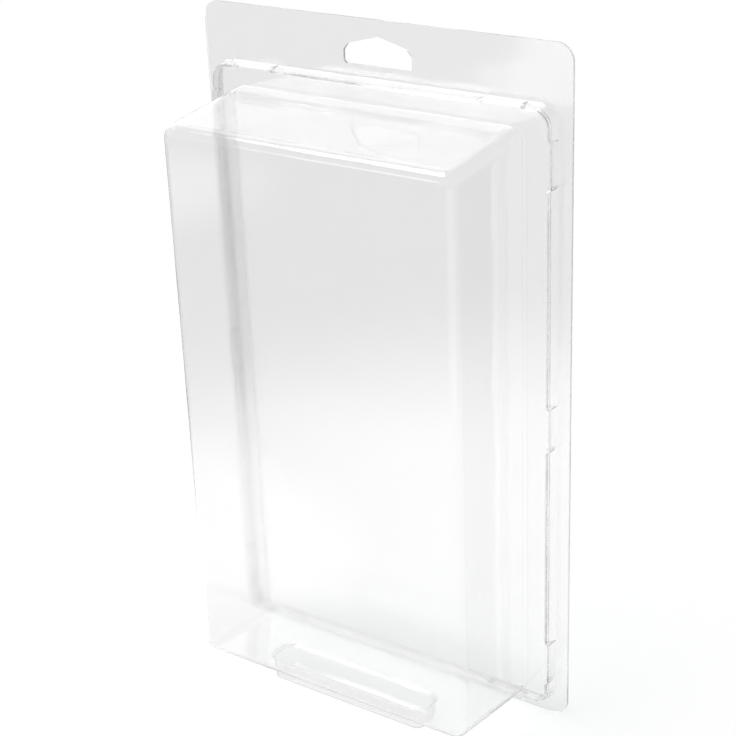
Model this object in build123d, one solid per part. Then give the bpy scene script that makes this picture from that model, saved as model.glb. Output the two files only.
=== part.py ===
from build123d import *
import math
import os

# A clear thermoformed clamshell case that stands upright and hangs from its header.
# X runs across the front, Y runs to the back, Z is up. Lengths are in millimetres.
# The case stands on the plane Z = 0, with its origin under the middle of its box.

# Sheet and fits
wall = 0.5
flange_gap = 0.1
plug_clearance = 0.35
hinge_clearance = 0.1

# Flange and header
flange_width = 170.0
flange_height = 286.0
flange_corner_radius = 7.0

# Hang hole in the header: a flat bottom, short sides and a low peaked roof
hole_width = 31.75
hole_side_height = 5.4
hole_shoulder_width = 27.4
hole_shoulder_height = 8.0
hole_peak_height = 11.6
hole_below_top = 18.3
hole_corner_radius = 1.8

# Plinth, the raised step that stands on the front flange
plinth_width = 159.0
plinth_bottom = 4.9
plinth_top = 263.1
plinth_rise = 6.0
plinth_draft = 12.0
plinth_corner_radius = 8.0
plinth_edge_chamfer = 0.7

# Snap lugs on the plinth walls: three on each side, two on each end, with ends at 45 degrees
lug_length = 18.0
lug_root = 6.0
lug_corner_distance = 22.0

# Blister, the deep tray that holds the contents
blister_width = 135.0
blister_bottom = 7.2
blister_top = 254.6
blister_depth = 47.5
blister_side_draft = 0.75
blister_end_draft = 5.8
blister_corner_radius = 6.0
blister_edge_radius = 5.0

# Foot, a hollow pad under the blister that levels the case with its flange
foot_width = 78.0
foot_depth = 14.0
foot_setback = 12.0
foot_draft = 4.0
foot_corner_radius = 5.0
foot_edge_chamfer = 1.2
foot_root_chamfer = 0.8

# Plug, the raised back panel that fits inside the plinth
plug_rise = 4.6
plug_edge_chamfer = 0.7

# Derived planes and places
mating_y = (plinth_rise + blister_depth) / 2
front_face = mating_y - flange_gap / 2
back_face = mating_y + flange_gap / 2
fold_radius = flange_gap / 2 + wall
fold_x = -flange_width / 2 + fold_radius
flange_left = fold_x + fold_radius + hinge_clearance
plinth_mid = (plinth_bottom + plinth_top) / 2
plinth_height = plinth_top - plinth_bottom
ledge_y = front_face - wall - plinth_rise
blister_front = ledge_y - blister_depth
foot_reach = blister_bottom + blister_depth / 2
chamfer_shift = wall * (2 - math.sqrt(2))


def front_plane(y, x=0.0, z=0.0):
    """A sketch plane across the case at depth y, seen from the front."""
    return Plane(origin=(x, y, z), x_dir=(1, 0, 0), z_dir=(0, -1, 0))


def hang_hole():
    """The hang hole's outline, extruded through both flanges."""
    half = hole_width / 2
    bottom = flange_height - hole_below_top
    outline = [
        (-half, bottom),
        (half, bottom),
        (half, bottom + hole_side_height),
        (hole_shoulder_width / 2, bottom + hole_shoulder_height),
        (0, bottom + hole_peak_height),
        (-hole_shoulder_width / 2, bottom + hole_shoulder_height),
        (-half, bottom + hole_side_height),
    ]
    sketch = make_face(Polyline(*outline, close=True))
    sketch = fillet(sketch.vertices(), hole_corner_radius)
    return extrude(front_plane(front_face) * sketch, amount=4 * wall, both=True)


def flange_plate(y_front, left):
    """One flange and header in flat sheet, from its front face back by one wall."""
    height_mid = flange_height / 2
    outline = Pos(0, height_mid) * RectangleRounded(flange_width, flange_height, flange_corner_radius)
    kept = Pos((left + flange_width) / 2, height_mid) * Rectangle(flange_width - left, flange_height)
    sheet = extrude(front_plane(y_front) * (outline & kept), amount=-wall)
    return sheet - hang_hole()


def lug_places():
    """Place of each snap lug's outer edge from the plinth's middle, and the lug's turn."""
    across = plinth_width / 2
    along = plinth_height / 2
    across_step = across - lug_corner_distance
    along_step = along - lug_corner_distance
    places = []
    for sign in (-1, 1):
        places += [(sign * across, row * along_step, -90 * sign) for row in (-1, 0, 1)]
        places += [(column * across_step, sign * along, 90 - 90 * sign) for column in (-1, 1)]
    return places


def plinth_block(y_base, rise, grow):
    """The plinth with its lugs as a solid block whose walls are moved outward by grow."""
    outline = RectangleRounded(
        plinth_width + 2 * grow,
        plinth_height + 2 * grow,
        plinth_corner_radius + grow,
    )
    block = extrude(front_plane(y_base, z=plinth_mid) * outline, amount=rise, taper=plinth_draft)
    tip_half = lug_length / 2 + grow * (math.sqrt(2) - 1)
    root_half = tip_half + lug_root + grow
    lug = make_face(Polyline(
        (-root_half, -lug_root),
        (root_half, -lug_root),
        (tip_half, grow),
        (-tip_half, grow),
        close=True,
    ))
    for x, z, turn in lug_places():
        plane = front_plane(y_base, x, plinth_mid + z)
        block += extrude(plane * Rot(0, 0, turn) * lug, amount=rise)
    return block


def front_rim(block):
    """The edges around a block's front face."""
    return block.faces().sort_by(Axis.Y)[0].outer_wire().edges()


def blister_block(y_root, grow):
    """The blister as a solid block with drafted walls, moved outward by grow."""
    y_front = blister_front - grow
    depth = y_root - y_front
    side_in = depth * math.tan(math.radians(blister_side_draft))
    end_in = depth * math.tan(math.radians(blister_end_draft))
    root_half = blister_width / 2 + grow
    low = blister_bottom - grow
    high = blister_top + grow
    plan = make_face(Polyline(
        (-root_half, y_root),
        (root_half, y_root),
        (root_half - side_in, y_front),
        (-root_half + side_in, y_front),
        close=True,
    ))
    side_view = make_face(Polyline(
        (y_root, low),
        (y_root, high),
        (y_front, high - end_in),
        (y_front, low + end_in),
        close=True,
    ))
    across = Plane(origin=(0, 0, 0), x_dir=(0, 1, 0), z_dir=(1, 0, 0))
    block = extrude(plan, amount=flange_height)
    block &= extrude(across * side_view, amount=flange_width, both=True)
    corners = [edge for edge in block.edges() if abs(edge.tangent_at(0.5).Y) > 0.7]
    block = fillet(corners, blister_corner_radius + grow)
    return fillet(front_rim(block), blister_edge_radius + grow)


def foot_block(grow):
    """The foot pad as a solid block from the standing plane up into the blister, moved outward by grow."""
    y_mid = blister_front + foot_setback + foot_depth / 2
    outline = RectangleRounded(foot_width + 2 * grow, foot_depth + 2 * grow, foot_corner_radius + grow)
    return extrude(Pos(0, y_mid, -grow) * outline, amount=foot_reach + grow, taper=-foot_draft)


def foot_rim(body):
    """The edges around the foot's sole."""
    return body.faces().sort_by(Axis.Z)[0].outer_wire().edges()


def foot_root(body):
    """The edges where the foot leaves the blister's bottom wall."""
    reach = foot_reach * math.tan(math.radians(foot_draft))
    y_low = blister_front + foot_setback - reach
    y_high = blister_front + foot_setback + foot_depth + reach
    near = body.edges().filter_by_position(Axis.Y, y_low, y_high)
    near = near.filter_by_position(Axis.Z, 2 * foot_edge_chamfer, foot_reach - wall)
    return [edge for edge in near if abs(edge.tangent_at(0.5).Z) < 0.5]


def front_shell():
    """The front half: flange, plinth with lugs, deep blister and foot in one sheet."""
    flange_front = front_face - wall
    skin = plinth_block(flange_front, plinth_rise, 0.0)
    skin = chamfer(front_rim(skin), plinth_edge_chamfer)
    skin += blister_block(ledge_y, 0.0)
    skin += foot_block(0.0)
    skin = chamfer(foot_root(skin), foot_root_chamfer)
    skin = chamfer(foot_rim(skin), foot_edge_chamfer)
    hollow = plinth_block(front_face, plinth_rise, -wall)
    hollow += blister_block(ledge_y + wall, -wall)
    hollow += foot_block(-wall)
    hollow = chamfer(foot_root(hollow), foot_root_chamfer + chamfer_shift)
    hollow = chamfer(foot_rim(hollow), foot_edge_chamfer - chamfer_shift)
    return flange_plate(flange_front, flange_left) + skin - hollow


def back_shell():
    """The back half: flange, flat back panel raised as a hollow plug, and the fold."""
    outer = -wall - plug_clearance
    sheet = flange_plate(back_face, fold_x)
    plug = plinth_block(back_face, plug_rise, outer)
    plug = chamfer(front_rim(plug), plug_edge_chamfer)
    hollow = plinth_block(back_face + wall, plug_rise, outer - wall)
    hollow = chamfer(front_rim(hollow), plug_edge_chamfer - chamfer_shift)
    low = flange_corner_radius
    fold = Pos(fold_x, mating_y, low) * extrude(Circle(fold_radius), amount=flange_height - 2 * low)
    return sheet + plug - hollow + fold


os.makedirs("parts", exist_ok=True)
export_step(front_shell(), "parts/front_shell.step")
export_step(back_shell(), "parts/back_shell.step")
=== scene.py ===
import math

import bpy
from mathutils import Matrix, Vector

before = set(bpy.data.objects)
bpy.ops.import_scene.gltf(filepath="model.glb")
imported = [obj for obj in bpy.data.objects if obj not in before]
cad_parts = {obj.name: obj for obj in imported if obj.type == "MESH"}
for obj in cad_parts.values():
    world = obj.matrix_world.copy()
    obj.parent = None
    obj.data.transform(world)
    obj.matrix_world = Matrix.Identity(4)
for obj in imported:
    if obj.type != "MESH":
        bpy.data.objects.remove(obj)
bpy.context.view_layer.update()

# The front half of the case: header, snap step, deep tray and foot.
# One sheet of clear polyester, heated and drawn over a tool, then trimmed around its flange.
MM = 0.001


def srgb(hex_colour):
    """A linear RGBA colour from an sRGB hex value such as "F4F6F6"."""
    channels = [int(hex_colour[i:i + 2], 16) / 255 for i in (0, 2, 4)]
    linear = [c / 12.92 if c <= 0.04045 else ((c + 0.055) / 1.055) ** 2.4 for c in channels]
    return (*linear, 1.0)


def add_node(tree, kind, settings=None, links=None):
    """Adds a node, sets its attributes or plain socket values, and links sockets into it."""
    node = tree.nodes.new(kind)
    for name, value in (settings or {}).items():
        if isinstance(name, int) or name in node.inputs:
            node.inputs[name].default_value = value
        else:
            setattr(node, name, value)
    for name, source in (links or {}).items():
        tree.links.new(source, node.inputs[name])
    return node


def clear_polyester():
    """Thermoformed clear polyester sheet, glassy and almost colourless.

    The eye sees it by its mirrored light and its grey edges. Slow waves from the drawing and faint marks
    of the tool bend what shows through, and patches of haze soften it.
    """
    draw_wave_mm = 46.0
    draw_wave_height_mm = 0.8
    tool_mark_mm = 9.0
    tool_mark_height_mm = 0.02
    haze_patch_mm = 30.0
    clear_roughness = 0.05
    hazy_roughness = 0.13
    material = bpy.data.materials.new("clear_polyester_sheet")
    material.use_nodes = True
    tree = material.node_tree
    tree.nodes.clear()
    place = add_node(tree, "ShaderNodeNewGeometry").outputs["Position"]
    wave = add_node(
        tree, "ShaderNodeTexNoise",
        {"Scale": 1 / (draw_wave_mm * MM), "Detail": 1.0, "Roughness": 0.4},
        {"Vector": place},
    )
    mark = add_node(
        tree, "ShaderNodeTexNoise",
        {"Scale": 1 / (tool_mark_mm * MM), "Detail": 2.0, "Roughness": 0.5},
        {"Vector": place},
    )
    haze = add_node(
        tree, "ShaderNodeTexNoise",
        {"Scale": 1 / (haze_patch_mm * MM), "Detail": 3.0, "Roughness": 0.6},
        {"Vector": place},
    )
    roughness = add_node(
        tree, "ShaderNodeMapRange",
        {"From Min": 0.35, "From Max": 0.75, "To Min": clear_roughness, "To Max": hazy_roughness},
        {"Value": haze.outputs["Fac"]},
    )
    draw_waves = add_node(
        tree, "ShaderNodeBump",
        {"Strength": 1.0, "Distance": draw_wave_height_mm * MM},
        {"Height": wave.outputs["Fac"]},
    )
    tool_marks = add_node(
        tree, "ShaderNodeBump",
        {"Strength": 1.0, "Distance": tool_mark_height_mm * MM},
        {"Height": mark.outputs["Fac"], "Normal": draw_waves.outputs["Normal"]},
    )
    sheet = add_node(
        tree, "ShaderNodeBsdfPrincipled",
        {"Base Color": srgb("F9F9F9"), "IOR": 1.575, "Transmission Weight": 1.0},
        {"Roughness": roughness.outputs["Result"], "Normal": tool_marks.outputs["Normal"]},
    )
    # Lamp light goes straight through, so that the shadow on the table stays faint.
    lamp_way = add_node(tree, "ShaderNodeBsdfTransparent", {"Color": srgb("F2F4F4")})
    light_path = add_node(tree, "ShaderNodeLightPath")
    surface = add_node(
        tree, "ShaderNodeMixShader", None,
        {
            0: light_path.outputs["Is Shadow Ray"],
            1: sheet.outputs["BSDF"],
            2: lamp_way.outputs["BSDF"],
        },
    )
    # A long way inside the sheet greys the light, so edges and folds show as grey lines.
    edge_grey = add_node(
        tree, "ShaderNodeVolumeAbsorption", {"Color": srgb("808080"), "Density": 14.0}
    )
    add_node(
        tree, "ShaderNodeOutputMaterial", None,
        {"Surface": surface.outputs["Shader"], "Volume": edge_grey.outputs["Volume"]},
    )
    return material


sheet_material = clear_polyester()
front_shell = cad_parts["front_shell"]
front_shell.data.materials.clear()
front_shell.data.materials.append(sheet_material)

# The back half: flange, header and the flat back panel, raised as a hollow plug that snaps into the step.
# The same drawn sheet as the front, folded over along the left edge as a living hinge.
back_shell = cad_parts["back_shell"]
back_shell.data.materials.clear()
back_shell.data.materials.append(sheet_material)

# The table that the case stands on: a plain sheet of white paper with soft pools of painted light and shade.
# The eye sees it evenly white, with the faint shadow of the case. Through the plastic and in its mirrored
# views the painted pools fade, and that gives the panel its white lower half and its grey upper half.
floor_size = 8.0
half = floor_size / 2
floor_corners = [(-half, -half, 0), (half, -half, 0), (half, half, 0), (-half, half, 0)]
floor_mesh = bpy.data.meshes.new("table_top")
floor_mesh.from_pydata(floor_corners, [], [(0, 1, 2, 3)])
table_top = bpy.data.objects.new("table_top", floor_mesh)
bpy.context.scene.collection.objects.link(table_top)


def white_paper():
    """Matt white paper, evenly white with a soft shadow. Its painted pools of light and shade show only by
    way of the plastic.
    """
    paper_glow = 0.71
    material = bpy.data.materials.new("white_paper")
    material.use_nodes = True
    tree = material.node_tree
    tree.nodes.clear()
    place = add_node(tree, "ShaderNodeNewGeometry").outputs["Position"]
    ray = add_node(tree, "ShaderNodeLightPath").outputs

    def pool(centre, inner, outer, inner_tone, outer_tone, squeeze=(1, 1, 1)):
        """A tone that changes smoothly with the distance from a point of the table, in metres."""
        squeezed = add_node(
            tree, "ShaderNodeVectorMath", {"operation": "MULTIPLY", 1: squeeze}, {0: place}
        )
        away = add_node(
            tree, "ShaderNodeVectorMath",
            {"operation": "DISTANCE", 1: centre},
            {0: squeezed.outputs["Vector"]},
        )
        tone = add_node(
            tree, "ShaderNodeMapRange",
            {
                "interpolation_type": "SMOOTHSTEP",
                "From Min": inner,
                "From Max": outer,
                "To Min": inner_tone,
                "To Max": outer_tone,
            },
            {"Value": away.outputs["Value"]},
        )
        return tone.outputs["Result"]

    # Painted light, seen only through the plastic: lighter around the case, greyer behind it and a little
    # lighter far off.
    # Painted shade darkens the table under the tray and close by on the left.
    painted_tone_around_case = pool((0.08, 0.06, 0), inner=0.23, outer=0.48, inner_tone=0.12, outer_tone=-0.08)
    far_behind = pool((0, 0, 0), inner=0.75, outer=1.05, inner_tone=0.0, outer_tone=0.04)
    far_left = pool((-0.56, 0.47, 0), inner=0.06, outer=0.14, inner_tone=0.13, outer_tone=0.0)
    left_shade = pool((-0.15, 0.08, 0), inner=0.05, outer=0.14, inner_tone=-0.045, outer_tone=0.0)
    # Painted shadow: the table's glow is lowered under the tray.
    painted_shadow_under_tray = pool(
        (0, 0, 0), inner=0.035, outer=0.07, inner_tone=-0.16, outer_tone=0.0, squeeze=(0.5, 1, 1)
    )
    through = painted_tone_around_case
    for other in (far_behind, far_left, left_shade, painted_shadow_under_tray):
        through = add_node(
            tree, "ShaderNodeMath", {"operation": "ADD"}, {0: through, 1: other}
        ).outputs["Value"]
    only_through = add_node(
        tree, "ShaderNodeMath", {"operation": "MULTIPLY"},
        {0: through, 1: ray["Is Transmission Ray"]},
    )
    # The glow keeps the paper evenly white to the eye; through the plastic it also carries the painted light
    # and shade.
    lift = add_node(
        tree, "ShaderNodeMath", {"operation": "ADD", 1: paper_glow}, {0: only_through.outputs["Value"]}
    )
    paper = add_node(tree, "ShaderNodeBsdfDiffuse", {"Color": srgb("959595")})
    white = add_node(
        tree, "ShaderNodeEmission", {"Color": srgb("FFFFFF")}, {"Strength": lift.outputs["Value"]}
    )
    seen = add_node(
        tree, "ShaderNodeAddShader", None, {0: paper.outputs["BSDF"], 1: white.outputs["Emission"]}
    )

    # Painted reflections, seen only mirrored in the plastic: a pool in front that fades to the right, one on
    # the right, and two small bright patches that stand in for mirrored white cards.
    in_front = pool((0.08, -0.06, 0), inner=0.24, outer=0.42, inner_tone=0.95, outer_tone=0.05)
    from_left = pool((-0.5, -0.6, 0), inner=0.55, outer=1.05, inner_tone=1.0, outer_tone=0.35)
    on_right = pool((0.55, -0.42, 0), inner=0.25, outer=0.45, inner_tone=0.9, outer_tone=0.05)
    painted_near_card_reflection = pool((-0.165, -0.09, 0), inner=0.08, outer=0.17, inner_tone=1.7, outer_tone=0.05)
    painted_far_card_reflection = pool((-0.36, -0.93, 0), inner=0.12, outer=0.19, inner_tone=2.4, outer_tone=0.05)
    mirrored = add_node(
        tree, "ShaderNodeMath", {"operation": "MULTIPLY"}, {0: in_front, 1: from_left}
    ).outputs["Value"]
    for other in (on_right, painted_near_card_reflection, painted_far_card_reflection):
        mirrored = add_node(
            tree, "ShaderNodeMath", {"operation": "MAXIMUM"}, {0: mirrored, 1: other}
        ).outputs["Value"]
    # Painted reflection: the paper glows with these tones only for rays mirrored in the plastic.
    painted_reflection_glow = add_node(
        tree, "ShaderNodeEmission", {"Color": srgb("FFFFFF")}, {"Strength": mirrored}
    )
    only_mirrored = add_node(
        tree, "ShaderNodeMath", {"operation": "SUBTRACT"},
        {0: ray["Is Glossy Ray"], 1: ray["Is Transmission Ray"]},
    )
    surface = add_node(
        tree, "ShaderNodeMixShader", None,
        {
            0: only_mirrored.outputs["Value"],
            1: seen.outputs["Shader"],
            2: painted_reflection_glow.outputs["Emission"],
        },
    )
    add_node(tree, "ShaderNodeOutputMaterial", None, {"Surface": surface.outputs["Shader"]})
    return material


table_top.data.materials.append(white_paper())

# The room around the table: white to the eye and through the plastic, grey walls in mirrored views.
# A broad bright sweep hangs behind the case on its left, and a small soft box stands low at the front left.
table_light = 0.4
white_to_the_eye = 1.0
sweep_gain_through = 1.94
world = bpy.data.worlds.new("studio")
bpy.context.scene.world = world
world.use_nodes = True
room = world.node_tree
room.nodes.clear()
direction = add_node(room, "ShaderNodeTexCoord").outputs["Generated"]
height = add_node(room, "ShaderNodeSeparateXYZ", None, {"Vector": direction}).outputs["Z"]


def bright_patch(towards, inner_deg, outer_deg, strength):
    """A soft round bright patch of the room in one direction."""
    aim = Vector(towards).normalized()
    lean = add_node(
        room, "ShaderNodeVectorMath", {"operation": "DOT_PRODUCT", 1: aim}, {0: direction}
    )
    patch = add_node(
        room, "ShaderNodeMapRange",
        {
            "interpolation_type": "SMOOTHSTEP",
            "From Min": math.cos(math.radians(outer_deg)),
            "From Max": math.cos(math.radians(inner_deg)),
            "To Min": 0.0,
            "To Max": strength,
        },
        {"Value": lean.outputs["Value"]},
    )
    return patch.outputs["Result"]


sweep = bright_patch((-0.55, 0.76, 0.36), inner_deg=24, outer_deg=52, strength=0.85)
soft_box = bright_patch((-0.53, -0.84, 0.06), inner_deg=4, outer_deg=8, strength=2.4)
lights = add_node(room, "ShaderNodeMath", {"operation": "ADD"}, {0: sweep, 1: soft_box})
grey_walls = add_node(
    room, "ShaderNodeMapRange",
    {
        "interpolation_type": "SMOOTHSTEP",
        "From Min": 0.1, "From Max": 0.75, "To Min": 0.40, "To Max": 0.45,
    },
    {"Value": height},
)
mirrored_room = add_node(
    room, "ShaderNodeMath", {"operation": "ADD"},
    {0: lights.outputs["Value"], 1: grey_walls.outputs["Result"]},
)
white_walls = add_node(
    room, "ShaderNodeMapRange",
    {
        "interpolation_type": "SMOOTHSTEP",
        "From Min": 0.25, "From Max": 0.65, "To Min": 1.0, "To Max": 0.7,
    },
    {"Value": height},
)
sweep_through = add_node(
    room, "ShaderNodeMath", {"operation": "MULTIPLY", 1: sweep_gain_through}, {0: sweep}
)
room_through = add_node(
    room, "ShaderNodeMath", {"operation": "MAXIMUM"},
    {0: white_walls.outputs["Result"], 1: sweep_through.outputs["Value"]},
)
ray = add_node(room, "ShaderNodeLightPath").outputs
with_mirrored = add_node(
    room, "ShaderNodeMix", {"data_type": "FLOAT", 2: table_light},
    {0: ray["Is Glossy Ray"], 3: mirrored_room.outputs["Value"]},
)
with_through = add_node(
    room, "ShaderNodeMix", {"data_type": "FLOAT"},
    {
        0: ray["Is Transmission Ray"],
        2: with_mirrored.outputs[0],
        3: room_through.outputs["Value"],
    },
)
with_eye = add_node(
    room, "ShaderNodeMix", {"data_type": "FLOAT", 3: white_to_the_eye},
    {0: ray["Is Camera Ray"], 2: with_through.outputs[0]},
)
glow = add_node(
    room, "ShaderNodeBackground", {"Color": srgb("FFFFFF")}, {"Strength": with_eye.outputs[0]}
)
add_node(room, "ShaderNodeOutputWorld", None, {"Surface": glow.outputs["Background"]})

# The lamp: one broad soft light, far off and high up at the front left.
# It lays the faint shadow of the case on the table.
lamp_from = (-0.35, -0.3, 1.0)
lamp_spread_deg = 40
lamp_data = bpy.data.lights.new("soft_light", "SUN")
lamp_data.angle = math.radians(lamp_spread_deg)
lamp_data.energy = 2.0
lamp = bpy.data.objects.new("soft_light", lamp_data)
lamp.rotation_euler = Vector(lamp_from).to_track_quat("Z", "Y").to_euler()
bpy.context.scene.collection.objects.link(lamp)

# The camera, at the photograph's viewpoint: in front, to the right and above, looking down.
# The picture has a slight tilt.
camera_place_mm = (382.3, -520.6, 439.4)
camera_turn_deg = 35.68
camera_down_deg = 24.05
camera_tilt_deg = -2.33
camera_data = bpy.data.cameras.new("camera")
camera_data.sensor_width = 36.0
camera_data.lens = 86.6
camera = bpy.data.objects.new("camera", camera_data)
camera.matrix_world = (
    Matrix.Translation(Vector(camera_place_mm) * MM)
    @ Matrix.Rotation(math.radians(camera_turn_deg), 4, "Z")
    @ Matrix.Rotation(math.radians(90 - camera_down_deg), 4, "X")
    @ Matrix.Rotation(math.radians(camera_tilt_deg), 4, "Z")
)
bpy.context.scene.collection.objects.link(camera)
bpy.context.scene.camera = camera

# The picture: light passes many faces of sheet in a row, so its paths are long.
# Colours are shown as they are.
longest_path = 64
cycles = bpy.context.scene.cycles
cycles.max_bounces = longest_path
cycles.transmission_bounces = longest_path
cycles.glossy_bounces = longest_path
cycles.transparent_max_bounces = longest_path // 2
bpy.context.scene.view_settings.view_transform = "Standard"
